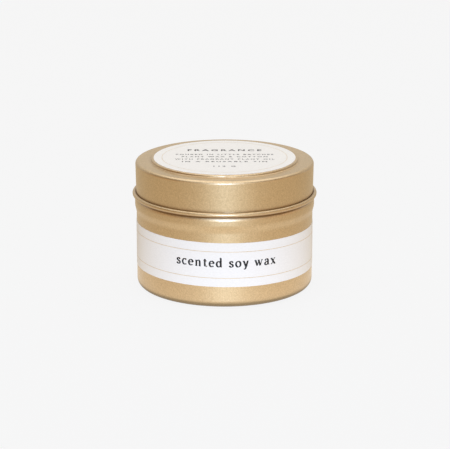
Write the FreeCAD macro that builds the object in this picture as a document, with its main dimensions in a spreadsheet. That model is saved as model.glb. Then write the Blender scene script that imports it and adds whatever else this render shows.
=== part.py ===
import FreeCAD, Part
import math
import os
import re
import Sketcher

# Candle tin: a drawn cup with a slip-on lid, paper labels, and the candle inside it.
# Millimetres. +Z is up, the origin is the middle of the base, and -Y is the front of the wrap label.

# Driving dimensions. Heights of the cup and the candle are from the base, and those of the lid are
# from its lower edge.
SIZES = {
    # drawn cup
    "tinplate": "0.25",
    "wall_radius": "32.5",
    "base_rounding": "2.6",
    "recess_radius": "27.7",
    "recess_depth": "1.1",
    "recess_rounding": "0.4",
    "bead_radius": "33.05",
    "bead_foot": "28.1",
    "bead_low": "30.4",
    "bead_high": "33.0",
    "bead_shoulder": "34.2",
    "bead_foot_rounding": "4",
    "bead_rounding": "2.2",
    "shoulder_rounding": "0.8",
    "neck_radius": "32.25",
    "cup_height": "46.65",
    "rim_curl_radius": "0.6",
    "rim_curl_sweep": "285",
    # slip lid
    "lid_seat": "34",
    "skirt_radius": "32.6",
    "skirt_straight": "1.6",
    "crown_radius": "32.8",
    "crown_height": "12.95",
    "crown_rounding": "1.1",
    "panel_radius": "27",
    "panel_height": "13.82",
    "panel_rounding": "0.45",
    "panel_foot_rounding": "0.4",
    "lid_curl_radius": "0.8",
    "lid_curl_sweep": "300",
    # labels
    "paper": "0.08",
    "glue_film": "0.02",
    "wrap_height": "16.29",
    "wrap_middle": "16.2",
    "wrap_tilt": "0.556",
    "wrap_gap": "3.4",
    "lid_label_radius": "26.06",
    "base_label_radius": "22",
    # candle
    "wax_gap": "0.02",
    "wax_level": "39.2",
    "wall_meniscus": "0.6",
    "wall_meniscus_width": "2.2",
    "wick_meniscus": "0.5",
    "wick_meniscus_width": "1.2",
    "meniscus_rounding": "2.5",
    "wick_radius": "1.25",
    "wick_trim": "6",
    "sticker_thickness": "0.5",
    "sustainer_radius": "9.5",
    "sustainer_thickness": "0.3",
    "sustainer_neck_radius": "1.75",
    "sustainer_neck_height": "6",
    "sustainer_rounding": "0.8",
}

# Sizes worked out in the sheet from the ones above.
DERIVED = {
    "cup_floor": "=recess_depth + tinplate",
    "bead_low_mitre": "=tan(atan((bead_radius - wall_radius) / (bead_low - bead_foot)) / 2)",
    "bead_high_mitre": "=tan(atan((bead_radius - neck_radius) / (bead_shoulder - bead_high)) / 2)",
    "sustainer_seat": "=cup_floor + sticker_thickness",
    "wrap_gap_angle": "=wrap_gap / wall_radius * 180 / pi",
    "band_side": "=wall_radius * 3",
}


def make_sheet(doc):
    """The spreadsheet of named sizes that every sketch and feature reads."""
    sheet = doc.addObject("Spreadsheet::Sheet", "Sizes")
    for row, (alias, content) in enumerate({**SIZES, **DERIVED}.items(), start=1):
        sheet.set(f"A{row}", alias)
        sheet.set(f"B{row}", content)
        sheet.setAlias(f"B{row}", alias)
    doc.recompute()
    return sheet


def read_from_sheet(match):
    """One word of an expression, as a cell of the sheet if it is an alias."""
    word = match.group(0)
    return f"Sizes.{word}" if word in SIZES or word in DERIVED else word


def named(expression):
    """The same expression with each alias read from the sheet."""
    return re.sub("[a-z_]+", read_from_sheet, expression)


def make_body(doc, label):
    """An empty body, whose label is the name of the piece."""
    body = doc.addObject("PartDesign::Body", label)
    body.Label = label
    return body


def origin_plane(body, role):
    """One of the body's own origin planes."""
    return next(item for item in body.Origin.OriginFeatures if item.Role == role)


def new_sketch(body, name, role):
    """An empty sketch on one of the body's origin planes."""
    sketch = body.newObject("Sketcher::SketchObject", name)
    sketch.AttachmentSupport = [(origin_plane(body, role), "")]
    sketch.MapMode = "FlatFace"
    return sketch


def place_point(sketch, geometry, position, across, up):
    """Holds a sketch point at a distance across and a height up, each a sheet expression or "0"."""
    if across == "0":
        sketch.addConstraint(Sketcher.Constraint("PointOnObject", geometry, position, -2))
    else:
        value = float(sketch.evalExpression(named(across)))
        index = sketch.addConstraint(Sketcher.Constraint("DistanceX", -1, 1, geometry, position, value))
        sketch.setExpression(f"Constraints[{index}]", named(across))
    if up == "0":
        sketch.addConstraint(Sketcher.Constraint("PointOnObject", geometry, position, -1))
    else:
        value = float(sketch.evalExpression(named(up)))
        index = sketch.addConstraint(Sketcher.Constraint("DistanceY", -1, 1, geometry, position, value))
        sketch.setExpression(f"Constraints[{index}]", named(up))


def set_radius(sketch, arc, expression):
    """Binds an arc's radius to the sheet."""
    value = float(sketch.evalExpression(named(expression)))
    index = sketch.addConstraint(Sketcher.Constraint("Radius", arc, value))
    sketch.setExpression(f"Constraints[{index}]", named(expression))


def rounding_arc(before, corner, after, radius):
    """The arc that rounds a corner, where it meets the two sides, and whether it turns to the left."""
    back = (before - corner).normalize()
    ahead = (after - corner).normalize()
    half = back.getAngle(ahead) / 2
    setback = radius / math.tan(half)
    first = corner + back * setback
    last = corner + ahead * setback
    centre = corner + (back + ahead).normalize() * (radius / math.sin(half))
    left = ahead.cross(back).z > 0
    begin, end = (first, last) if left else (last, first)
    start_angle = math.atan2(begin.y - centre.y, begin.x - centre.x)
    end_angle = math.atan2(end.y - centre.y, end.x - centre.x)
    if end_angle < start_angle:
        end_angle += 2 * math.pi
    circle = Part.Circle(centre, FreeCAD.Vector(0, 0, 1), radius)
    return Part.ArcOfCircle(circle, start_angle, end_angle), first, last, left


def rounded_outline(body, name, corners, role="XZ_Plane"):
    """A closed sketch of straight sides with rounded corners, all bound to the sheet.

    Each corner is (distance from the axis, height, rounding), and a rounding of None leaves it sharp.
    """
    sketch = new_sketch(body, name, role)
    count = len(corners)
    places = []
    for across, up, _ in corners:
        x = 0 if across == "0" else float(sketch.evalExpression(named(across)))
        y = 0 if up == "0" else float(sketch.evalExpression(named(up)))
        places.append(FreeCAD.Vector(x, y, 0))
    arcs = {}
    starts = list(places)
    ends = list(places)
    for i, (_, _, rounding) in enumerate(corners):
        if rounding is not None:
            radius = float(sketch.evalExpression(named(rounding)))
            arc, first, last, left = rounding_arc(
                places[i - 1], places[i], places[(i + 1) % count], radius
            )
            arcs[i] = (sketch.addGeometry(arc, False), left)
            ends[i] = first
            starts[i] = last
    sides = []
    for i in range(count):
        side = Part.LineSegment(starts[i], ends[(i + 1) % count])
        sides.append(sketch.addGeometry(side, False))
    for i, (across, up, rounding) in enumerate(corners):
        before, after = sides[i - 1], sides[i]
        point = sketch.addGeometry(Part.Point(places[i]), True)
        if rounding is None:
            sketch.addConstraint(Sketcher.Constraint("Coincident", before, 2, point, 1))
            sketch.addConstraint(Sketcher.Constraint("Coincident", after, 1, point, 1))
        else:
            arc, left = arcs[i]
            entry, leave = (1, 2) if left else (2, 1)
            sketch.addConstraint(Sketcher.Constraint("Tangent", before, 2, arc, entry))
            sketch.addConstraint(Sketcher.Constraint("Tangent", arc, leave, after, 1))
            sketch.addConstraint(Sketcher.Constraint("PointOnObject", point, 1, before))
            sketch.addConstraint(Sketcher.Constraint("PointOnObject", point, 1, after))
            set_radius(sketch, arc, rounding)
        place_point(sketch, point, 1, across, up)
    return sketch


def curl_outline(body, name, across, up, radius, start, sweep):
    """The section of a rolled edge: sheet bent round a centre, from a start angle of 0 or 180 degrees."""
    sketch = new_sketch(body, name, "XZ_Plane")
    centre = FreeCAD.Vector(
        float(sketch.evalExpression(named(across))), float(sketch.evalExpression(named(up))), 0
    )
    outside = float(sketch.evalExpression(named(radius)))
    inside = outside - float(sketch.evalExpression(named("tinplate")))
    begin = math.radians(start)
    end = begin + math.radians(float(sketch.evalExpression(named(sweep))))
    axis = FreeCAD.Vector(0, 0, 1)
    outer = sketch.addGeometry(Part.ArcOfCircle(Part.Circle(centre, axis, outside), begin, end), False)
    inner = sketch.addGeometry(Part.ArcOfCircle(Part.Circle(centre, axis, inside), begin, end), False)
    edges = []
    for angle in (begin, end):
        direction = FreeCAD.Vector(math.cos(angle), math.sin(angle), 0)
        edge = Part.LineSegment(centre + direction * inside, centre + direction * outside)
        edges.append(sketch.addGeometry(edge, False))
    for edge, position in zip(edges, (1, 2)):
        sketch.addConstraint(Sketcher.Constraint("Coincident", edge, 1, inner, position))
        sketch.addConstraint(Sketcher.Constraint("Coincident", edge, 2, outer, position))
    sketch.addConstraint(Sketcher.Constraint("Coincident", inner, 3, outer, 3))
    sketch.addConstraint(Sketcher.Constraint("Horizontal", edges[0]))
    sketch.addConstraint(Sketcher.Constraint("PointOnObject", outer, 3, edges[1]))
    turn = sketch.addConstraint(Sketcher.Constraint("Angle", edges[1], end % (2 * math.pi)))
    sketch.setExpression(f"Constraints[{turn}]", f"{named(sweep)} + {start - 360}")
    set_radius(sketch, outer, radius)
    set_radius(sketch, inner, f"{radius} - tinplate")
    place_point(sketch, outer, 3, across, up)
    return sketch


def revolve(body, sketch, name):
    """Turns a section once round the body's Z axis."""
    turned = body.newObject("PartDesign::Revolution", name)
    turned.Profile = sketch
    turned.ReferenceAxis = (sketch, ["V_Axis"])
    turned.Angle = 360
    sketch.Visibility = False
    return turned


def cup_side(inset):
    """Corners of the cup's side from the base up to the neck, moved inwards by an inset."""
    low = f"{inset} * bead_low_mitre"
    high = f"{inset} * bead_high_mitre"
    return [
        (f"wall_radius - {inset}", inset, f"base_rounding - {inset}"),
        (f"wall_radius - {inset}", f"bead_foot + {low}", f"bead_foot_rounding + {inset}"),
        (f"bead_radius - {inset}", f"bead_low + {low}", f"bead_foot_rounding - {inset}"),
        (f"bead_radius - {inset}", f"bead_high - {high}", f"bead_rounding - {inset}"),
        (f"neck_radius - {inset}", f"bead_shoulder - {high}", f"shoulder_rounding + {inset}"),
    ]


def make_tin_body(doc):
    """Seamless cup: recessed base, stop bead for the lid, neck, and a rim curled inwards."""
    body = make_body(doc, "tin_body")
    curl_height = "cup_height - rim_curl_radius"
    outside = [
        ("0", "recess_depth", None),
        ("recess_radius", "recess_depth", "recess_rounding"),
        ("recess_radius", "0", "recess_rounding"),
        *cup_side("0"),
        ("neck_radius", curl_height, None),
    ]
    inside = [
        ("0", "cup_floor", None),
        ("recess_radius + tinplate", "cup_floor", "recess_rounding + tinplate"),
        ("recess_radius + tinplate", "tinplate", "recess_rounding - tinplate"),
        *cup_side("tinplate"),
        ("neck_radius - tinplate", curl_height, None),
    ]
    section = rounded_outline(body, "cup_section", outside + inside[::-1])
    revolve(body, section, "cup")
    curl = curl_outline(
        body, "rim_section", "neck_radius - rim_curl_radius", curl_height,
        "rim_curl_radius", 0, "rim_curl_sweep"
    )
    body.Tip = revolve(body, curl, "rim_curl")
    return body


def make_lid(doc):
    """Slip lid: raised panel, rounded crown, and a lower edge rolled outwards."""
    body = make_body(doc, "lid")
    outside = [
        ("0", "panel_height", None),
        ("panel_radius", "panel_height", "panel_rounding"),
        ("panel_radius", "crown_height", "panel_foot_rounding"),
        ("crown_radius", "crown_height", "crown_rounding"),
        ("skirt_radius", "skirt_straight", None),
        ("skirt_radius", "lid_curl_radius", None),
    ]
    inside = [
        ("0", "panel_height - tinplate", None),
        ("panel_radius - tinplate", "panel_height - tinplate", "panel_rounding - tinplate"),
        ("panel_radius - tinplate", "crown_height - tinplate", "panel_foot_rounding + tinplate"),
        ("crown_radius - tinplate", "crown_height - tinplate", "crown_rounding - tinplate"),
        ("skirt_radius - tinplate", "skirt_straight", None),
        ("skirt_radius - tinplate", "lid_curl_radius", None),
    ]
    section = rounded_outline(body, "lid_section", outside[::-1] + inside)
    revolve(body, section, "lid_shell")
    curl = curl_outline(
        body, "curl_section", "skirt_radius - tinplate + lid_curl_radius", "lid_curl_radius",
        "lid_curl_radius", 180, "lid_curl_sweep"
    )
    body.Tip = revolve(body, curl, "edge_curl")
    body.setExpression("Placement.Base.z", named("lid_seat"))
    return body


def make_disc(doc, label, radius, thickness, height):
    """A flat round piece, such as a label or a sticker, with its underside at a height."""
    body = make_body(doc, label)
    sketch = new_sketch(body, f"{label}_outline", "XY_Plane")
    start_radius = float(sketch.evalExpression(named(radius)))
    circle = Part.Circle(FreeCAD.Vector(0, 0, 0), FreeCAD.Vector(0, 0, 1), start_radius)
    edge = sketch.addGeometry(circle, False)
    sketch.addConstraint(Sketcher.Constraint("Coincident", edge, 3, -1, 1))
    set_radius(sketch, edge, radius)
    pad = body.newObject("PartDesign::Pad", f"{label}_pad")
    pad.Profile = sketch
    pad.setExpression("Length", named(thickness))
    sketch.Visibility = False
    body.Tip = pad
    body.setExpression("Placement.Base.z", named(height))
    return body


def turned_about(axis):
    """A turn about an axis, whose angle an expression then sets."""
    return FreeCAD.Rotation(axis, 1)


def make_wrap_ring(doc):
    """The label's paper as a ring taller than the strip, open for the gap at the back."""
    outside = doc.addObject("Part::Cylinder", "wrap_outside")
    outside.setExpression("Radius", named("wall_radius + glue_film + paper"))
    outside.setExpression("Angle", named("360 - wrap_gap_angle"))
    outside.Placement.Rotation = turned_about(FreeCAD.Vector(0, 0, 1))
    outside.setExpression("Placement.Rotation.Angle", named("90 + wrap_gap_angle / 2"))
    inside = doc.addObject("Part::Cylinder", "wrap_inside")
    inside.setExpression("Radius", named("wall_radius + glue_film"))
    for cylinder in (outside, inside):
        cylinder.setExpression("Height", named("wrap_middle * 2"))
    ring = doc.addObject("Part::Cut", "wrap_ring")
    ring.Base = outside
    ring.Tool = inside
    return ring


def make_wrap_band(doc):
    """A tilted block, as high as the strip, that keeps the strip out of the ring."""
    band = doc.addObject("Part::Box", "wrap_band")
    band.setExpression("Length", named("band_side"))
    band.setExpression("Width", named("band_side"))
    band.setExpression("Height", named("wrap_height"))
    band.Placement.Rotation = turned_about(FreeCAD.Vector(0, 1, 0))
    band.setExpression("Placement.Rotation.Angle", named("wrap_tilt"))
    band.setExpression("Placement.Base.x", named("0 - band_side / 2 * cos(wrap_tilt)"))
    band.setExpression("Placement.Base.y", named("0 - band_side / 2"))
    drop = "band_side / 2 * sin(wrap_tilt)"
    rise = "wrap_height / 2 * cos(wrap_tilt)"
    band.setExpression("Placement.Base.z", named(f"wrap_middle + {drop} - {rise}"))
    return band


def make_wrap_label(doc):
    """Paper strip round the wall, slightly out of level, its two ends not quite meeting at the back."""
    label = doc.addObject("Part::Common", "wrap_label")
    label.Base = make_wrap_ring(doc)
    label.Tool = make_wrap_band(doc)
    label.Label = "wrap_label"
    return label


def make_wick_sustainer(doc):
    """Stamped tab on the floor of the cup, with a neck that the wick stands in."""
    body = make_body(doc, "wick_sustainer")
    bore = "wick_radius + wax_gap"
    section = rounded_outline(body, "sustainer_section", [
        (bore, "0", None),
        ("sustainer_radius", "0", None),
        ("sustainer_radius", "sustainer_thickness", None),
        ("sustainer_neck_radius", "sustainer_thickness", "sustainer_rounding"),
        ("sustainer_neck_radius", "sustainer_neck_height", None),
        (bore, "sustainer_neck_height", None),
    ])
    body.Tip = revolve(body, section, "sustainer")
    body.setExpression("Placement.Base.z", named("sustainer_seat"))
    return body


def make_wax(doc):
    """Poured wax: it fills the cup round the sustainer and creeps up the wall and the wick."""
    body = make_body(doc, "wax")
    inset = "(tinplate + wax_gap)"
    hole = "wick_radius + wax_gap"
    tab = "sustainer_radius + wax_gap"
    tab_top = "sustainer_seat + sustainer_thickness + wax_gap"
    neck = "sustainer_neck_radius + wax_gap"
    neck_top = "sustainer_seat + sustainer_neck_height + wax_gap"
    neck_wall = f"neck_radius - {inset}"
    section = rounded_outline(body, "wax_section", [
        (tab, "cup_floor + wax_gap", None),
        (f"recess_radius + {inset}", "cup_floor + wax_gap", f"recess_rounding + {inset}"),
        (f"recess_radius + {inset}", inset, "recess_rounding - tinplate"),
        *cup_side(inset),
        (neck_wall, "wax_level + wall_meniscus", None),
        (f"{neck_wall} - wall_meniscus_width", "wax_level", "meniscus_rounding"),
        (f"{hole} + wick_meniscus_width", "wax_level", "meniscus_rounding / 2"),
        (hole, "wax_level + wick_meniscus", None),
        (hole, neck_top, None),
        (neck, neck_top, None),
        (neck, tab_top, "sustainer_rounding - wax_gap"),
        (tab, tab_top, None),
    ])
    body.Tip = revolve(body, section, "wax_fill")
    return body


def make_wick(doc):
    """Cotton wick from the tab up to its trimmed end above the wax."""
    length = "wax_level + wick_trim - sustainer_seat"
    return make_disc(doc, "wick", "wick_radius", length, "sustainer_seat")


def build(doc):
    """Every piece of the candle, in the order in which it is put together."""
    return [
        make_tin_body(doc),
        make_disc(doc, "wick_sticker", "sustainer_radius", "sticker_thickness", "cup_floor"),
        make_wick_sustainer(doc),
        make_wick(doc),
        make_wax(doc),
        make_lid(doc),
        make_wrap_label(doc),
        make_disc(doc, "lid_label", "lid_label_radius", "paper + glue_film", "lid_seat + panel_height"),
        make_disc(doc, "base_label", "base_label_radius", "paper", "recess_depth - paper"),
    ]


def check(doc, pieces):
    """Stops if an object failed or a piece has no sound solid."""
    for item in doc.Objects:
        if "Invalid" in item.State or "Error" in item.State:
            raise RuntimeError(f"{item.Name} failed: {item.State}")
    for piece in pieces:
        shape = piece.Shape
        if shape.isNull() or not shape.isValid() or len(shape.Solids) != 1:
            raise RuntimeError(f"{piece.Label} is not one valid solid")


def main():
    doc = FreeCAD.newDocument("candle_tin")
    make_sheet(doc)
    pieces = build(doc)
    doc.recompute()
    check(doc, pieces)
    os.makedirs("parts", exist_ok=True)
    for piece in pieces:
        piece.Shape.exportStep(f"parts/{piece.Label}.step")
        print(f"{piece.Label}: {piece.Shape.Volume:.1f} mm3")


main()
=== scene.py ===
"""A candle tin with a slip lid: finishes, printed labels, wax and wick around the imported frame.

Everything is in metres. Sizes that people would measure on the object are written in
millimetres and multiplied by MM. Places come from the boxes of the frame's nodes.
"""

import math

import bmesh
import bpy
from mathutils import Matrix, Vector, noise
from mathutils.geometry import delaunay_2d_cdt


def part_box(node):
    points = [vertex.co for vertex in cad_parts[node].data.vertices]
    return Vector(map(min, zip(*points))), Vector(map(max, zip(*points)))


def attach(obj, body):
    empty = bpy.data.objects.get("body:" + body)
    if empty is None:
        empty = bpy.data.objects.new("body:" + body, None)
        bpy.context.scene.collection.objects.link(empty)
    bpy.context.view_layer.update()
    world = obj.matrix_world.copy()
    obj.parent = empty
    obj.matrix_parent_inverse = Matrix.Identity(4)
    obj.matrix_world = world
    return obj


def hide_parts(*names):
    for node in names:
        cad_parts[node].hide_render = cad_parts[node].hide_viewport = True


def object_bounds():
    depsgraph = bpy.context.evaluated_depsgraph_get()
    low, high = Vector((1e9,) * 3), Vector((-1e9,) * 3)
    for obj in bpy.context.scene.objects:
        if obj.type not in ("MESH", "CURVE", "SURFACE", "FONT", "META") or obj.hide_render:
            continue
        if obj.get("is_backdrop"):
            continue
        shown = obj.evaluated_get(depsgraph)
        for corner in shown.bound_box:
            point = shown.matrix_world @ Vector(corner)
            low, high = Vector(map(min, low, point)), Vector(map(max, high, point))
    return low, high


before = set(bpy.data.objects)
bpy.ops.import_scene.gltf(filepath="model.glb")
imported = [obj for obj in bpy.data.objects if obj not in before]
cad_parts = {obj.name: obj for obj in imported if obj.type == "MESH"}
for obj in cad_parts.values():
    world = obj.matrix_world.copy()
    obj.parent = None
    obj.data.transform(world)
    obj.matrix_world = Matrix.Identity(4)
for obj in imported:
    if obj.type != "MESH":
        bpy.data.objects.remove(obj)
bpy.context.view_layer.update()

MM = 0.001

# Camera
VIEW_PITCH = math.radians(15.8)
VIEW_DISTANCE = 744.3 * MM
LOOK_AT_HEIGHT = 22.1 * MM
VIEW_OFFSET = 0.16 * MM
LENS = 160.5
SENSOR = 36.0

# What the camera sees of the floor and the room: one even near-white
PALE = 0.92
FLOOR_ALBEDO = 0.05
FLOOR_GLOW = 0.945
FLOOR_RADIUS = 3.0
FLOOR_GAP = 0.02 * MM

# What reflections see instead: radiance, linear RGB
FLOOR_FAR = (0.60, 0.50, 0.35)
FLOOR_NEAR = (0.62, 0.64, 0.70)
POOL_CENTRE = (5 * MM, -30 * MM)
POOL_REACH = 200 * MM
FOOT_SHADOW_REACH = 38.5 * MM
FOOT_SHADOW_LEAST = 0.35
WALL_LEFT = (0.68, 0.40, 0.20)
WALL_RIGHT = (1.05, 0.72, 0.48)
WALL_DARK = (0.02, 0.02, 0.02)
BACKDROP = (0.60, 0.56, 0.50)
CEILING = (1.56, 1.53, 1.52)

# Softboxes: degrees above the floor, width and height in metres, radiance
LIGHT_DISTANCE = 1.3
LIGHT_AZIMUTH = 1.0
LOW_FRONT = (9.0, (0.36, 0.42), (9.4, 13.4, 20.0))
HIGH_FRONT = (33.0, (0.70, 0.45), (1.9, 2.35, 3.2))

# Gold lacquer
# Painted shade: the colour that grooves and the stripes under the lid's lip and at the foot are
# darkened towards
PAINTED_SHADE = (0.330, 0.180, 0.050)
RUBBED = (0.760, 0.600, 0.370)
# Reach of the ambient occlusion that paints shade into grooves
GROOVE_SHADE_REACH = 1.2 * MM
EDGE_RADIUS = 0.25 * MM
EDGE_TURN = 0.12
# Strength of the painted shadow stripes under the lid's lip and at the foot
SHADOW_STRIPE = 0.85

# Wrap label print
WRAP_TILT = math.radians(0.556)
RULE_OFFSET = 4.87 * MM
RULE_WIDTH = 0.17 * MM
INK = 0.012 * MM
WRAP_TEXT = "scented soy wax"
WRAP_TEXT_BASE = -0.7 * MM
WRAP_TEXT_SHIFT = 0.65 * MM
X_HEIGHT = 2.2 * MM
TRACKING = 0.25
WRAP_HALF_GAP = 1.7 * MM
RULE_END = math.radians(0.3)

# Lid label print
LID_RING = 23.0 * MM
RING_WIDTH = 0.16 * MM
BASE_RING = 20.0 * MM

# Candle
WALL_MENISCUS = 0.6 * MM
WICK_MENISCUS = 0.5 * MM
YARN = 0.40 * MM
WEAVE = 0.12 * MM
PLAIT_PITCH = 7.0 * MM
WICK_CORE = 0.62 * MM


# ---------------------------------------------------------------- meshes

def mesh_object(name, bm, material, smooth=True):
    """A new object from a bmesh, which is freed."""
    bmesh.ops.recalc_face_normals(bm, faces=bm.faces)
    mesh = bpy.data.meshes.new(name)
    bm.to_mesh(mesh)
    bm.free()
    mesh.materials.append(material)
    if smooth:
        mesh.shade_smooth()
    else:
        mesh.shade_flat()
    made = bpy.data.objects.new(name, mesh)
    bpy.context.collection.objects.link(made)
    return made


def place(piece, body, slot, *nodes):
    """The piece rides on a body and may stand for CAD nodes, which it hides. The slot is not used."""
    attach(piece, body)
    if nodes:
        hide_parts(*nodes)
    return piece


def lathe(bm, profile, segments, closed=True, height_at=None):
    """Turns (radius, height) points round the Z axis. height_at(x, y, z) may move a point up."""
    rings = []
    for radius, height in profile:
        ring = []
        for step in range(segments):
            angle = 2 * math.pi * step / segments
            x, y = radius * math.cos(angle), radius * math.sin(angle)
            z = height_at(x, y, height) if height_at else height
            ring.append(bm.verts.new((x, y, z)))
        rings.append(ring)
    pairs = list(zip(rings, rings[1:]))
    if closed:
        pairs.append((rings[-1], rings[0]))
    for low, high in pairs:
        for step in range(segments):
            after = (step + 1) % segments
            bm.faces.new((low[step], low[after], high[after], high[step]))


# ---------------------------------------------------------------- lettering

THICK, THIN = 0.31, 0.12
NIB = math.radians(12)
STEPS = 12


def line(start, end, width):
    """A straight stroke as (point, width) samples."""
    count = 4
    a, b = Vector(start), Vector(end)
    return [(a.lerp(b, step / count), width) for step in range(count + 1)]


def pen(points):
    """Gives each point of a curve the width that a broad nib leaves there."""
    made = []
    for here, point in enumerate(points):
        along = points[min(here + 1, len(points) - 1)] - points[max(here - 1, 0)]
        along.normalize()
        across = abs(along.x * math.sin(NIB) - along.y * math.cos(NIB))
        made.append((point, THIN + (THICK - THIN) * across))
    return made


def arc(centre, size, start, end):
    """Part of an ellipse, from start to end in degrees."""
    points = []
    for step in range(2 * STEPS + 1):
        angle = math.radians(start + (end - start) * step / (2 * STEPS))
        points.append(Vector((centre[0] + size[0] * math.cos(angle),
                              centre[1] + size[1] * math.sin(angle))))
    return pen(points)


def curve(*controls):
    """Joined cubic curves: a start point, then two handles and an end for each."""
    knots = [Vector(control) for control in controls]
    points = [knots[0]]
    for first in range(0, len(knots) - 1, 3):
        a, b, c, d = knots[first:first + 4]
        for step in range(1, STEPS + 1):
            t = step / STEPS
            u = 1 - t
            points.append(a * u ** 3 + b * (3 * t * u * u) + c * (3 * t * t * u) + d * t ** 3)
    return pen(points)


def serif(middle, height, width=0.36):
    """A thin bar across the end of a stem."""
    return line((middle - width / 2, height), (middle + width / 2, height), THIN)


def ball(x, y, size=0.17):
    """A round end to a stroke."""
    half = size / 2
    ends = [(-1, 0.25), (-0.8, 0.6), (-0.4, 0.92), (0, 1), (0.4, 0.92), (0.8, 0.6), (1, 0.25)]
    return [(Vector((x + across * half, y)), size * high) for across, high in ends]


# Each letter is its width and its strokes, in heights of a small letter x.
LETTERS = {
    " ": (0.55, []),
    "a": (0.94, [
        curve((0.20, 0.76), (0.26, 1.04), (0.70, 1.08), (0.70, 0.66)),
        line((0.70, 0.68), (0.70, 0.14), THICK),
        curve((0.70, 0.60), (0.42, 0.54), (0.15, 0.46), (0.15, 0.24),
              (0.15, -0.06), (0.52, -0.06), (0.70, 0.20)),
        curve((0.70, 0.16), (0.70, -0.02), (0.80, -0.02), (0.93, 0.08)),
        ball(0.23, 0.74),
    ]),
    "c": (0.86, [
        arc((0.49, 0.49), (0.37, 0.47), 48, 318),
        ball(0.70, 0.79),
    ]),
    "d": (1.04, [
        arc((0.46, 0.48), (0.34, 0.46), 0, 360),
        line((0.80, 0.0), (0.80, 1.52), THICK * 0.95),
        line((0.62, 1.50), (0.84, 1.53), THIN),
        line((0.78, 0.02), (1.00, 0.03), THIN),
    ]),
    "e": (0.92, [
        arc((0.48, 0.49), (0.36, 0.47), 8, 318),
        line((0.16, 0.55), (0.86, 0.55), THIN),
    ]),
    "n": (1.14, [
        line((0.26, 0.0), (0.26, 0.96), THICK * 0.95),
        line((0.07, 0.93), (0.30, 0.96), THIN),
        curve((0.26, 0.74), (0.42, 1.02), (0.84, 1.12), (0.84, 0.62)),
        line((0.84, 0.64), (0.84, 0.0), THICK * 0.95),
        serif(0.26, 0.02),
        serif(0.84, 0.02),
    ]),
    "o": (1.00, [
        arc((0.50, 0.48), (0.38, 0.47), 0, 360),
    ]),
    "s": (0.80, [
        curve((0.62, 0.76), (0.58, 1.02), (0.19, 1.04), (0.19, 0.74),
              (0.19, 0.50), (0.67, 0.50), (0.67, 0.25),
              (0.67, -0.08), (0.20, -0.06), (0.14, 0.22)),
        line((0.635, 0.70), (0.635, 0.92), THIN),
        line((0.135, 0.04), (0.135, 0.28), THIN),
    ]),
    "t": (0.70, [
        line((0.30, 1.26), (0.30, 0.22), THICK * 0.95),
        curve((0.30, 0.26), (0.30, -0.06), (0.46, -0.02), (0.66, 0.10)),
        line((0.08, 0.95), (0.62, 0.95), THIN),
    ]),
    "w": (1.42, [
        line((0.14, 0.95), (0.46, 0.02), THICK),
        line((0.46, 0.02), (0.72, 0.95), THIN),
        line((0.66, 0.95), (0.98, 0.02), THICK),
        line((0.98, 0.02), (1.27, 0.95), THIN),
        serif(0.14, 0.95),
        serif(0.69, 0.95),
        serif(1.27, 0.95, 0.28),
    ]),
    "x": (0.98, [
        line((0.18, 0.95), (0.78, 0.02), THICK),
        line((0.76, 0.95), (0.20, 0.02), THIN),
        serif(0.18, 0.95),
        serif(0.76, 0.95, 0.30),
        serif(0.20, 0.02, 0.30),
        serif(0.78, 0.02),
    ]),
    "y": (0.96, [
        line((0.16, 0.95), (0.50, 0.06), THICK),
        curve((0.82, 0.95), (0.62, 0.36), (0.52, -0.44), (0.22, -0.42)),
        serif(0.16, 0.95),
        serif(0.82, 0.95, 0.28),
        ball(0.24, -0.38),
    ]),
}


def stroke_quads(stroke):
    """The quadrilaterals that a stroke covers, each with its corners anticlockwise."""
    sides = []
    for here, (point, width) in enumerate(stroke):
        before = stroke[max(here - 1, 0)][0]
        after = stroke[min(here + 1, len(stroke) - 1)][0]
        across = (after - before).orthogonal().normalized() * (width / 2)
        sides.append((point + across, point - across))
    quads = []
    for (a, b), (c, d) in zip(sides, sides[1:]):
        turns_left = (b - a).cross(d - a) > 0
        quads.append((a, b, d, c) if turns_left else (a, c, d, b))
    return quads


def covers(quad, point):
    """Whether the point is inside the quadrilateral."""
    sides = zip(quad, quad[1:] + quad[:1])
    return all((after - corner).cross(point - corner) >= 0 for corner, after in sides)


def letter_triangles(strokes):
    """All of a letter's strokes as one flat sheet: (points, triangles)."""
    quads = [quad for stroke in strokes for quad in stroke_quads(stroke)]
    points = [corner for quad in quads for corner in quad]
    faces = [tuple(range(first, first + 4)) for first in range(0, len(points), 4)]
    points, _, faces, *_ = delaunay_2d_cdt(points, [], faces, 0, 1e-4)
    inked = []
    for face in faces:
        middle = sum((points[corner] for corner in face), Vector((0, 0))) / len(face)
        if any(covers(quad, middle) for quad in quads):
            inked.append(face)
    return points, inked


def written(text):
    """A flat bmesh of a line of text, and its width."""
    bm = bmesh.new()
    along = 0.0
    for character in text:
        width, strokes = LETTERS[character]
        if strokes:
            points, triangles = letter_triangles(strokes)
            verts = [bm.verts.new((point.x + along, point.y, 0.0)) for point in points]
            for triangle in triangles:
                bm.faces.new([verts[corner] for corner in triangle])
        along += width + TRACKING
    for loose in [vert for vert in bm.verts if not vert.link_faces]:
        bm.verts.remove(loose)
    return bm, along - TRACKING


def thicken(bm, place_at, thickness):
    """Gives flat faces a thickness. place_at(x, y, lift) puts each point in the row frame."""
    made = bmesh.ops.extrude_face_region(bm, geom=bm.faces[:], use_keep_orig=True)
    raised = {item for item in made["geom"] if isinstance(item, bmesh.types.BMVert)}
    for vert in bm.verts:
        vert.co = place_at(vert.co.x, vert.co.y, thickness if vert in raised else 0.0)


# ---------------------------------------------------------------- materials

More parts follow.
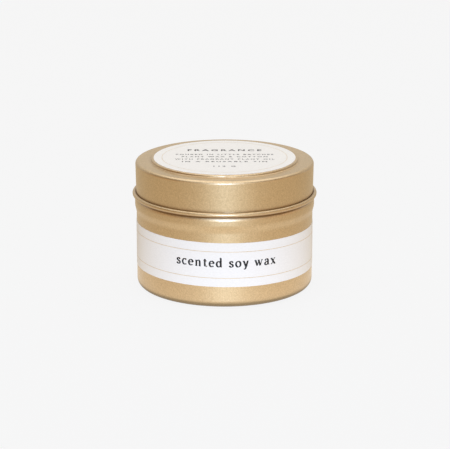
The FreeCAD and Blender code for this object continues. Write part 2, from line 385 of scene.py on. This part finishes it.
class Finish:
    """A node material with a Principled shader and short calls for what feeds it."""

    def __init__(self, name):
        self.material = bpy.data.materials.new(name + "_finish")
        self.material.use_nodes = True
        self.nodes = self.material.node_tree.nodes
        self.links = self.material.node_tree.links
        self.shader = self.nodes["Principled BSDF"]
        self.where = self.nodes.new("ShaderNodeTexCoord").outputs["Object"]

    def set(self, **values):
        """Constant values, set straight on the shader's sockets."""
        for name, value in values.items():
            self.shader.inputs[name.replace("_", " ")].default_value = value

    def feed(self, name, socket):
        self.links.new(socket, self.shader.inputs[name])

    def stretched(self, scale):
        node = self.nodes.new("ShaderNodeMapping")
        node.inputs["Scale"].default_value = scale
        self.links.new(self.where, node.inputs["Vector"])
        return node.outputs["Vector"]

    def noise(self, scale, detail=3.0, where=None, roughness=0.5):
        node = self.nodes.new("ShaderNodeTexNoise")
        node.inputs["Scale"].default_value = scale
        node.inputs["Detail"].default_value = detail
        node.inputs["Roughness"].default_value = roughness
        self.links.new(where or self.where, node.inputs["Vector"])
        return node.outputs["Fac"]

    def ramp(self, factor, *stops):
        node = self.nodes.new("ShaderNodeValToRGB")
        while len(node.color_ramp.elements) < len(stops):
            node.color_ramp.elements.new(0.5)
        for element, (position, colour) in zip(node.color_ramp.elements, stops):
            element.position = position
            element.color = colour if len(colour) == 4 else (*colour, 1.0)
        self.links.new(factor, node.inputs["Fac"])
        return node.outputs["Color"]

    def spread(self, factor, low, high, start=0.3, end=0.7):
        """Maps a noise value to the range low to high."""
        node = self.nodes.new("ShaderNodeMapRange")
        node.inputs["From Min"].default_value = start
        node.inputs["From Max"].default_value = end
        node.inputs["To Min"].default_value = low
        node.inputs["To Max"].default_value = high
        self.links.new(factor, node.inputs["Value"])
        return node.outputs["Result"]

    def blend(self, factor, first, second):
        """Goes from the first colour to the second as the factor goes from 0 to 1."""
        node = self.nodes.new("ShaderNodeMix")
        node.data_type = "RGBA"
        sockets = {item.name: item for item in node.inputs if item.enabled}
        self.links.new(factor, sockets["Factor"])
        for name, colour in (("A", first), ("B", second)):
            if isinstance(colour, bpy.types.NodeSocket):
                self.links.new(colour, sockets[name])
            else:
                sockets[name].default_value = (*colour, 1.0)
        return [item for item in node.outputs if item.enabled][0]

    def crevices(self, reach, open_sky=0.95, closed=0.45):
        """Ambient occlusion as a mask for painted shade: 1 deep in a groove of the piece, 0 on open
        faces. Other pieces don't count: they move.
        """
        node = self.nodes.new("ShaderNodeAmbientOcclusion")
        node.samples = 8
        node.only_local = True
        node.inputs["Distance"].default_value = reach
        return self.spread(node.outputs["AO"], 0.0, 1.0, open_sky, closed)

    def combine(self, operation, first, second):
        node = self.nodes.new("ShaderNodeMath")
        node.operation = operation
        self.links.new(first, node.inputs[0])
        self.links.new(second, node.inputs[1])
        return node.outputs["Value"]

    def band(self, low, high, fade, most):
        """A level stripe of strength most between two heights, which fades out beyond them."""
        split = self.nodes.new("ShaderNodeSeparateXYZ")
        self.links.new(self.where, split.inputs["Vector"])
        rise = self.spread(split.outputs["Z"], 0.0, most, low - fade, low)
        fall = self.spread(split.outputs["Z"], 1.0, 0.0, high, high + fade)
        return self.combine("MULTIPLY", rise, fall)

    def edges(self, radius, turn):
        """1 where the face turns sharply, as at a rolled or cut edge, and 0 where it doesn't."""
        rounded = self.nodes.new("ShaderNodeBevel")
        rounded.samples = 6
        rounded.inputs["Radius"].default_value = radius
        likeness = self.nodes.new("ShaderNodeVectorMath")
        likeness.operation = "DOT_PRODUCT"
        self.links.new(rounded.outputs["Normal"], likeness.inputs[0])
        self.links.new(self.nodes.new("ShaderNodeNewGeometry").outputs["Normal"], likeness.inputs[1])
        return self.spread(likeness.outputs["Value"], 0.0, 1.0, 1.0 - turn * 0.2, 1.0 - turn)

    def bump(self, height, distance, strength=1.0, under=None):
        node = self.nodes.new("ShaderNodeBump")
        node.inputs["Distance"].default_value = distance
        node.inputs["Strength"].default_value = strength
        self.links.new(height, node.inputs["Height"])
        if under:
            self.links.new(under, node.inputs["Normal"])
        return node.outputs["Normal"]


def gold_tinplate():
    """Satin gold lacquer baked on tinplate: fine grain, painted shade in its grooves, rubbed paler at
    edges.

    Two painted stripes, under the lid's lip and at the foot, stand in for contact shadows.
    """
    made = Finish("gold_tinplate")
    made.set(Metallic=1.0, Coat_Weight=1.0, Coat_Roughness=0.27, Coat_IOR=1.9)
    grain = made.noise(2100.0, 4.0, roughness=0.7)
    lacquer = made.ramp(grain, (0.32, (0.542, 0.383, 0.184)), (0.68, (0.736, 0.545, 0.287)))
    rubbed = made.blend(made.edges(EDGE_RADIUS, EDGE_TURN), lacquer, RUBBED)
    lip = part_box("lid")[0].z
    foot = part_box("tin_body")[0].z
    under_lip = made.band(lip - 0.5 * MM, lip + 0.3 * MM, 0.35 * MM, SHADOW_STRIPE)
    at_foot = made.band(foot, foot + 0.15 * MM, 0.5 * MM, SHADOW_STRIPE)
    stripes = made.combine("MAXIMUM", under_lip, at_foot)
    # Painted shade: grooves found by ambient occlusion, and the painted shadow stripes, darken the
    # lacquer
    painted_shade_mask = made.combine("MAXIMUM", stripes, made.crevices(GROOVE_SHADE_REACH))
    made.feed("Base Color", made.blend(painted_shade_mask, rubbed, PAINTED_SHADE))
    mottle = made.noise(240.0, 3.0)
    made.feed("Roughness", made.spread(mottle, 0.43, 0.50))
    orange_peel = made.bump(made.noise(420.0, 2.0), 0.004 * MM)
    made.feed("Normal", made.bump(grain, 0.008 * MM, under=orange_peel))
    return made.material


def label_paper():
    """Smooth white label stock with short fibres just showing."""
    made = Finish("label_paper")
    made.set(Roughness=0.85, Specular_IOR_Level=0.12)
    fibres = made.noise(1400.0, 5.0, made.stretched((1.0, 1.0, 3.0)))
    colour = made.ramp(fibres, (0.32, (0.805, 0.785, 0.735)), (0.68, (0.855, 0.835, 0.785)))
    made.feed("Base Color", colour)
    made.feed("Normal", made.bump(fibres, 0.004 * MM))
    return made.material


def printed_ink():
    """Charcoal ink, very slightly uneven where it sank into the paper."""
    made = Finish("printed_ink")
    made.set(Specular_IOR_Level=0.3)
    patches = made.noise(2200.0, 3.0)
    colour = made.ramp(patches, (0.35, (0.004, 0.004, 0.005)), (0.75, (0.016, 0.015, 0.017)))
    made.feed("Base Color", colour)
    made.feed("Roughness", made.spread(patches, 0.45, 0.65))
    return made.material


def printed_gold():
    """The pale gold of the printed rules."""
    made = Finish("printed_gold")
    made.set(Metallic=0.35)
    patches = made.noise(1800.0, 3.0)
    colour = made.ramp(patches, (0.30, (0.600, 0.455, 0.250)), (0.70, (0.740, 0.590, 0.360)))
    made.feed("Base Color", colour)
    made.feed("Roughness", made.spread(patches, 0.35, 0.5))
    return made.material


def soy_wax():
    """Creamy wax with the cloudy bloom that soy wax sets with."""
    made = Finish("wax")
    made.set(Subsurface_Weight=0.35, Subsurface_Scale=2.5 * MM, Subsurface_Radius=(1.0, 0.7, 0.45),
             Specular_IOR_Level=0.4)
    bloom = made.noise(55.0, 6.0, roughness=0.62)
    colour = made.ramp(bloom, (0.35, (0.930, 0.870, 0.735)), (0.62, (0.965, 0.930, 0.830)))
    made.feed("Base Color", colour)
    made.feed("Roughness", made.spread(bloom, 0.36, 0.6))
    made.feed("Normal", made.bump(made.noise(900.0, 4.0), 0.01 * MM))
    return made.material


def wick_cotton():
    """Waxed cotton yarn."""
    made = Finish("wick_cotton")
    made.set(Roughness=0.7, Sheen_Weight=0.15)
    yarn = made.noise(3200.0, 3.0, made.stretched((1.0, 1.0, 0.25)))
    colour = made.ramp(yarn, (0.30, (0.740, 0.680, 0.570)), (0.70, (0.900, 0.860, 0.770)))
    made.feed("Base Color", colour)
    made.feed("Normal", made.bump(yarn, 0.03 * MM))
    return made.material


def plated_steel():
    """Bright tin plating with rolling marks."""
    made = Finish("plated_steel")
    made.set(Metallic=1.0)
    marks = made.noise(900.0, 4.0, made.stretched((1.0, 14.0, 1.0)))
    colour = made.ramp(marks, (0.30, (0.520, 0.520, 0.515)), (0.70, (0.640, 0.640, 0.635)))
    made.feed("Base Color", colour)
    made.feed("Roughness", made.spread(marks, 0.24, 0.38))
    made.feed("Normal", made.bump(marks, 0.004 * MM))
    return made.material


def sticker_foam():
    """White closed-cell foam tape."""
    made = Finish("sticker_foam")
    cells = made.noise(1500.0, 3.0)
    colour = made.ramp(cells, (0.35, (0.620, 0.615, 0.600)), (0.65, (0.780, 0.775, 0.760)))
    made.feed("Base Color", colour)
    made.feed("Roughness", made.spread(cells, 0.7, 0.9))
    made.feed("Normal", made.bump(cells, 0.05 * MM))
    return made.material


# ---------------------------------------------------------------- pieces

def finish_node(node, material):
    """Gives a CAD node's object its finish."""
    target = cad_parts[node]
    target.data.materials.clear()
    target.data.materials.append(material)


def tilted(x):
    """How far the wrap label's tilt lifts a point at this x."""
    return -math.tan(WRAP_TILT) * x


def wrap_rule(name, offset, material):
    """A thin printed line round the wrap label, as far round as the paper goes."""
    low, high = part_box("wrap_label")
    radius = high.x
    middle = (low.z + high.z) / 2 + offset
    gap = math.asin(WRAP_HALF_GAP / radius) + RULE_END
    start = math.pi / 2 + gap
    sweep = 2 * math.pi - 2 * gap
    steps = 240
    bm = bmesh.new()
    rows = []
    for step in range(steps + 1):
        angle = start + sweep * step / steps
        row = []
        for lift, side in ((-INK, -1), (INK, -1), (INK, 1), (-INK, 1)):
            x, y = (radius + lift) * math.cos(angle), (radius + lift) * math.sin(angle)
            row.append(bm.verts.new((x, y, middle + tilted(x) + side * RULE_WIDTH / 2)))
        rows.append(row)
    for row, after in zip(rows, rows[1:]):
        for side in range(4):
            other = (side + 1) % 4
            bm.faces.new((row[side], row[other], after[other], after[side]))
    bm.faces.new(rows[0])
    bm.faces.new(rows[-1])
    return place(mesh_object(name, bm, material, smooth=False), "tin", "label_paper")


def wrap_lettering(material):
    """The words on the wrap label, bent round the tin."""
    low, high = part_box("wrap_label")
    radius = high.x
    base = (low.z + high.z) / 2 + WRAP_TEXT_BASE
    bm, width = written(WRAP_TEXT)

    def on_label(x, y, lift):
        angle = ((x - width / 2) * X_HEIGHT + WRAP_TEXT_SHIFT) / radius
        out = radius - INK + 2 * lift
        along = out * math.sin(angle)
        return Vector((along, -out * math.cos(angle), base + y * X_HEIGHT + tilted(along)))

    thicken(bm, on_label, INK)
    return place(mesh_object("wrap_label_lettering", bm, material, smooth=False), "tin", "label_paper")


def flat_ring(name, radius, height, body, material):
    """A thin printed ring on a round label."""
    bm = bmesh.new()
    inner, outer = radius - RING_WIDTH / 2, radius + RING_WIDTH / 2
    low, high = height - INK, height + INK
    lathe(bm, [(inner, low), (outer, low), (outer, high), (inner, high)], 256)
    return place(mesh_object(name, bm, material, smooth=False), body, "label_paper")


def small_line(name, words, width, cap_height, middle, height, body, material, up=1):
    """A line of small capitals on a round label, centred, and fitted to a width."""
    text = bpy.data.curves.new(name, "FONT")
    text.body = words
    text.align_x = "CENTER"
    text.space_character = 1.45
    text.resolution_u = 3
    text.offset = 0.022
    text.extrude = 0.5
    source = bpy.data.objects.new(name + "_source", text)
    bpy.context.collection.objects.link(source)
    mesh = bpy.data.meshes.new_from_object(source.evaluated_get(bpy.context.evaluated_depsgraph_get()))
    bpy.data.objects.remove(source)
    bm = bmesh.new()
    bm.from_mesh(mesh)
    bpy.data.meshes.remove(mesh)
    bmesh.ops.remove_doubles(bm, verts=bm.verts, dist=1e-5)
    xs = [vert.co.x for vert in bm.verts]
    ys = [vert.co.y for vert in bm.verts]
    across = width / (max(xs) - min(xs))
    tall = cap_height / (max(ys) - min(ys))
    for vert in bm.verts:
        x = (vert.co.x - (max(xs) + min(xs)) / 2) * across
        y = (vert.co.y - (max(ys) + min(ys)) / 2) * tall + middle
        vert.co = (up * x, y, height + up * vert.co.z * 2 * INK)
    return place(mesh_object(name, bm, material, smooth=False), body, "label_paper")


def lid_print(ink, gold):
    """The round label on the lid: a thin ring and centred lines of generic words."""
    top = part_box("lid_label")[1].z
    flat_ring("lid_label_ring", LID_RING, top, "lid", gold)
    lines = [
        ("heading", "FRAGRANCE", 27.5, 2.5, 10.4),
        ("line_1", "POURED IN LITTLE BATCHES", 36.0, 1.35, 3.8),
        ("line_2", "PLANT WAX & COTTON", 31.5, 1.35, 0.3),
        ("line_3", "WITH FRAGRANT PLANT OIL", 36.5, 1.35, -3.4),
        ("line_4", "IN A REUSABLE TIN", 31.0, 1.35, -7.1),
        ("weight", "112 G", 8.0, 1.35, -14.0),
    ]
    for name, words, width, cap_height, middle in lines:
        small_line("lid_label_" + name, words, width * MM, cap_height * MM, middle * MM,
                   top, "lid", ink)


def base_print(ink, gold):
    """The sticker under the tin: a ring and one generic line."""
    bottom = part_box("base_label")[0].z
    flat_ring("base_label_ring", BASE_RING, bottom, "tin", gold)
    words = "SOY WAX, COTTON WICK"
    small_line("base_label_line", words, 28.0 * MM, 1.8 * MM, 0.0, bottom, "tin", ink, up=-1)


def outer_wall(node, least):
    """(radius, height) points of a turned node's outermost wall, from the bottom up."""
    found = {}
    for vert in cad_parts[node].data.vertices:
        radius = math.hypot(vert.co.x, vert.co.y)
        if radius > least:
            found[round(vert.co.z, 5)] = max(radius, found.get(round(vert.co.z, 5), 0.0))
    return [(radius, height) for height, radius in sorted(found.items())]


def poured_wax(material):
    """The wax as it set: level, drawn up at the wall and the wick, a little uneven on top."""
    low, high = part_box("wax")
    wick_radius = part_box("wick")[1].x
    wall = outer_wall("wax", 0.93 * high.x)
    edge_radius, edge_height = wall[-1]
    level = edge_height - WALL_MENISCUS
    rings = 60
    profile = list(wall)
    for ring in range(1, rings + 1):
        radius = edge_radius + (wick_radius - edge_radius) * ring / rings
        at_wall = WALL_MENISCUS * math.exp(-(edge_radius - radius) / (0.55 * MM))
        at_wick = WICK_MENISCUS * math.exp(-(radius - wick_radius) / (0.4 * MM))
        profile.append((radius, level + at_wall + at_wick))
    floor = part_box("wick_sticker")[1].z
    profile.append((wick_radius, floor))
    profile.append((wall[0][0], floor))

    def height_at(x, y, z):
        radius = math.hypot(x, y)
        if z < level - 0.1 * MM or radius > edge_radius - 0.3 * MM:
            return z
        calm = min(1.0, (edge_radius - radius) / (3 * MM))
        broad = noise.noise(Vector((x, y, 0.0)) * 60.0) * 0.28
        fine = noise.noise(Vector((x, y, 0.01)) * 190.0) * 0.09
        return z + (broad + fine) * calm * MM

    bm = bmesh.new()
    lathe(bm, profile, 256, height_at=height_at)
    return place(mesh_object("poured_wax", bm, material), "tin", "wax", "wax")


def braided_wick(material):
    """Eight yarns plaited over a core, cut square at the top."""
    low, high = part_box("wick")
    reach = high.x
    middle_radius = reach - YARN - WEAVE
    spacing = 0.25 * MM
    levels = int((high.z - low.z) / spacing)
    sides = 8
    bm = bmesh.new()
    for strand in range(8):
        hand = 1 if strand % 2 else -1
        start = 2 * math.pi * (strand // 2) / 4 + (math.pi / 8 if hand > 0 else 0)
        rings = []
        for level in range(levels + 1):
            z = low.z + (high.z - low.z) * level / levels
            turn = start + hand * 2 * math.pi * z / PLAIT_PITCH
            weave = math.sin(4 * turn * hand + strand * math.pi / 2)
            out = middle_radius + WEAVE * weave
            outward = Vector((math.cos(turn), math.sin(turn), 0.0))
            slope = math.atan2(2 * math.pi * out * hand, PLAIT_PITCH)
            sideways = Vector((-math.sin(turn), math.cos(turn), 0.0))
            across = sideways * math.cos(slope) - Vector((0, 0, 1)) * math.sin(slope)
            centre = outward * out + Vector((0, 0, z))
            ring = []
            for side in range(sides):
                angle = 2 * math.pi * side / sides
                flat = outward * (0.8 * YARN * math.cos(angle))
                point = centre + flat + across * (YARN * math.sin(angle))
                point.z = min(max(point.z, low.z), high.z)
                ring.append(bm.verts.new(point))
            rings.append(ring)
        for ring, after in zip(rings, rings[1:]):
            for side in range(sides):
                other = (side + 1) % sides
                bm.faces.new((ring[side], ring[other], after[other], after[side]))
        bm.faces.new(rings[0])
        bm.faces.new(rings[-1])
    bore, shoulder = 0.05 * MM, high.z - 0.1 * MM
    core = [(bore, low.z), (WICK_CORE, low.z), (WICK_CORE, shoulder), (bore, high.z)]
    lathe(bm, core, 16)
    return place(mesh_object("braided_wick", bm, material), "tin", "wick_cotton", "wick")


# ---------------------------------------------------------------- stage

def glow(made, centre, reach):
    """A pool of light on the floor that fades from 1 at the centre to 0 at the reach."""
    node = made.nodes.new("ShaderNodeMapping")
    node.vector_type = "TEXTURE"
    node.inputs["Location"].default_value = (*centre, 0.0)
    node.inputs["Scale"].default_value = (reach, reach, 1.0)
    made.links.new(made.where, node.inputs["Vector"])
    gradient = made.nodes.new("ShaderNodeTexGradient")
    gradient.gradient_type = "QUADRATIC_SPHERE"
    made.links.new(node.outputs["Vector"], gradient.inputs["Vector"])
    return gradient.outputs["Fac"]


def pale_floor():
    """A wide pale floor: even to the camera. Reflections see a pool of light, darker at the foot."""
    made = Finish("pale_floor")
    albedo = (FLOOR_ALBEDO, FLOOR_ALBEDO, FLOOR_ALBEDO, 1.0)
    made.set(Base_Color=albedo, Roughness=0.9, Specular_IOR_Level=0.0)
    made.set(Emission_Color=(PALE, PALE, PALE, 1.0), Emission_Strength=FLOOR_GLOW)
    far = made.nodes.new("ShaderNodeEmission")
    near = made.nodes.new("ShaderNodeEmission")
    both = made.nodes.new("ShaderNodeAddShader")
    far.inputs["Color"].default_value = (*FLOOR_FAR, 1.0)
    near.inputs["Color"].default_value = (*FLOOR_NEAR, 1.0)
    foot = glow(made, (0.0, 0.0), FOOT_SHADOW_REACH)
    shadow = made.spread(foot, 1.0, FOOT_SHADOW_LEAST, 0.0, 0.02)
    pool = made.combine("MULTIPLY", glow(made, POOL_CENTRE, POOL_REACH), shadow)
    made.links.new(shadow, far.inputs["Strength"])
    made.links.new(pool, near.inputs["Strength"])
    made.links.new(far.outputs["Emission"], both.inputs[0])
    made.links.new(near.outputs["Emission"], both.inputs[1])
    chosen = made.nodes.new("ShaderNodeMixShader")
    made.links.new(made.nodes.new("ShaderNodeLightPath").outputs["Is Camera Ray"], chosen.inputs["Fac"])
    made.links.new(both.outputs["Shader"], chosen.inputs[1])
    made.links.new(made.shader.outputs["BSDF"], chosen.inputs[2])
    made.links.new(chosen.outputs["Shader"], made.nodes["Material Output"].inputs["Surface"])
    bm = bmesh.new()
    bmesh.ops.create_circle(bm, cap_ends=True, segments=96, radius=FLOOR_RADIUS)
    bmesh.ops.translate(bm, verts=bm.verts, vec=(0, 0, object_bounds()[0].z - FLOOR_GAP))
    floor = mesh_object("floor", bm, made.material)
    floor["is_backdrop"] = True


def studio_world():
    """Even and pale to the camera. Reflections see warm, darker sides and a white ceiling."""
    world = bpy.data.worlds.new("studio")
    bpy.context.scene.world = world
    world.use_nodes = True
    nodes, links = world.node_tree.nodes, world.node_tree.links
    nodes.clear()
    direction = nodes.new("ShaderNodeSeparateXYZ")
    links.new(nodes.new("ShaderNodeTexCoord").outputs["Generated"], direction.inputs["Vector"])

    def mapped(source, start, end, low, high):
        node = nodes.new("ShaderNodeMapRange")
        node.interpolation_type = "SMOOTHSTEP"
        limits = {"From Min": start, "From Max": end, "To Min": low, "To Max": high}
        for name, value in limits.items():
            node.inputs[name].default_value = value
        links.new(source, node.inputs["Value"])
        return node.outputs["Result"]

    def mixed(factor, first, second):
        node = nodes.new("ShaderNodeMix")
        node.data_type = "RGBA"
        for socket, value in (("Factor", factor), ("A", first), ("B", second)):
            target = [item for item in node.inputs if item.name == socket and item.enabled][0]
            if isinstance(value, bpy.types.NodeSocket):
                links.new(value, target)
            else:
                target.default_value = (*value, 1.0)
        return [item for item in node.outputs if item.enabled][0]

    walls = mixed(mapped(direction.outputs["X"], -0.6, 0.6, 0.0, 1.0), WALL_LEFT, WALL_RIGHT)
    walls = mixed(mapped(direction.outputs["Z"], 0.15, 0.45, 0.0, 1.0), walls, WALL_DARK)
    walls = mixed(mapped(direction.outputs["Y"], 0.15, 0.45, 0.0, 1.0), walls, BACKDROP)
    room = mixed(mapped(direction.outputs["Z"], 0.60, 0.80, 0.0, 1.0), walls, CEILING)
    seen, felt = nodes.new("ShaderNodeBackground"), nodes.new("ShaderNodeBackground")
    seen.inputs["Color"].default_value = (PALE, PALE, PALE, 1.0)
    links.new(room, felt.inputs["Color"])
    chosen = nodes.new("ShaderNodeMixShader")
    links.new(nodes.new("ShaderNodeLightPath").outputs["Is Camera Ray"], chosen.inputs["Fac"])
    links.new(felt.outputs["Background"], chosen.inputs[1])
    links.new(seen.outputs["Background"], chosen.inputs[2])
    links.new(chosen.outputs["Shader"], nodes.new("ShaderNodeOutputWorld").inputs["Surface"])


def softbox(name, elevation, size, colour):
    """An area light in front of the tin and aimed at it."""
    light = bpy.data.lights.new(name, "AREA")
    light.shape = "RECTANGLE"
    light.size, light.size_y = size
    light.energy = math.pi * size[0] * size[1]
    light.color = colour
    lamp = bpy.data.objects.new(name, light)
    bpy.context.collection.objects.link(lamp)
    a, e = math.radians(LIGHT_AZIMUTH), math.radians(elevation)
    aim = Vector((math.sin(a) * math.cos(e), -math.cos(a) * math.cos(e), math.sin(e)))
    lamp.location = aim * LIGHT_DISTANCE + Vector((0, 0, LOOK_AT_HEIGHT))
    lamp.rotation_euler = aim.to_track_quat("Z", "Y").to_euler()
    lamp.visible_camera = False


def studio():
    """The floor, the room, the lights and the camera."""
    pale_floor()
    studio_world()
    softbox("low_front", *LOW_FRONT)
    softbox("high_front", *HIGH_FRONT)
    bpy.context.scene.view_settings.view_transform = "Standard"
    camera = bpy.data.objects.new("camera", bpy.data.cameras.new("camera"))
    camera.data.lens = LENS
    camera.data.sensor_width = SENSOR
    camera.location = (VIEW_OFFSET, -VIEW_DISTANCE * math.cos(VIEW_PITCH),
                       LOOK_AT_HEIGHT + VIEW_DISTANCE * math.sin(VIEW_PITCH))
    camera.rotation_euler = (math.pi / 2 - VIEW_PITCH, 0.0, 0.0)
    bpy.context.collection.objects.link(camera)
    bpy.context.scene.camera = camera


def build():
    """Finishes for the CAD nodes, then the new pieces, then the stage."""
    gold, paper = gold_tinplate(), label_paper()
    ink, gold_print = printed_ink(), printed_gold()
    for node in ("tin_body", "lid"):
        finish_node(node, gold)
    for node in ("wrap_label", "lid_label", "base_label"):
        finish_node(node, paper)
    finish_node("wick_sustainer", plated_steel())
    finish_node("wick_sticker", sticker_foam())
    wrap_rule("wrap_label_rule_upper", RULE_OFFSET, gold_print)
    wrap_rule("wrap_label_rule_lower", -RULE_OFFSET, gold_print)
    wrap_lettering(ink)
    lid_print(ink, gold_print)
    base_print(ink, gold_print)
    poured_wax(soy_wax())
    braided_wick(wick_cotton())
    studio()


build()
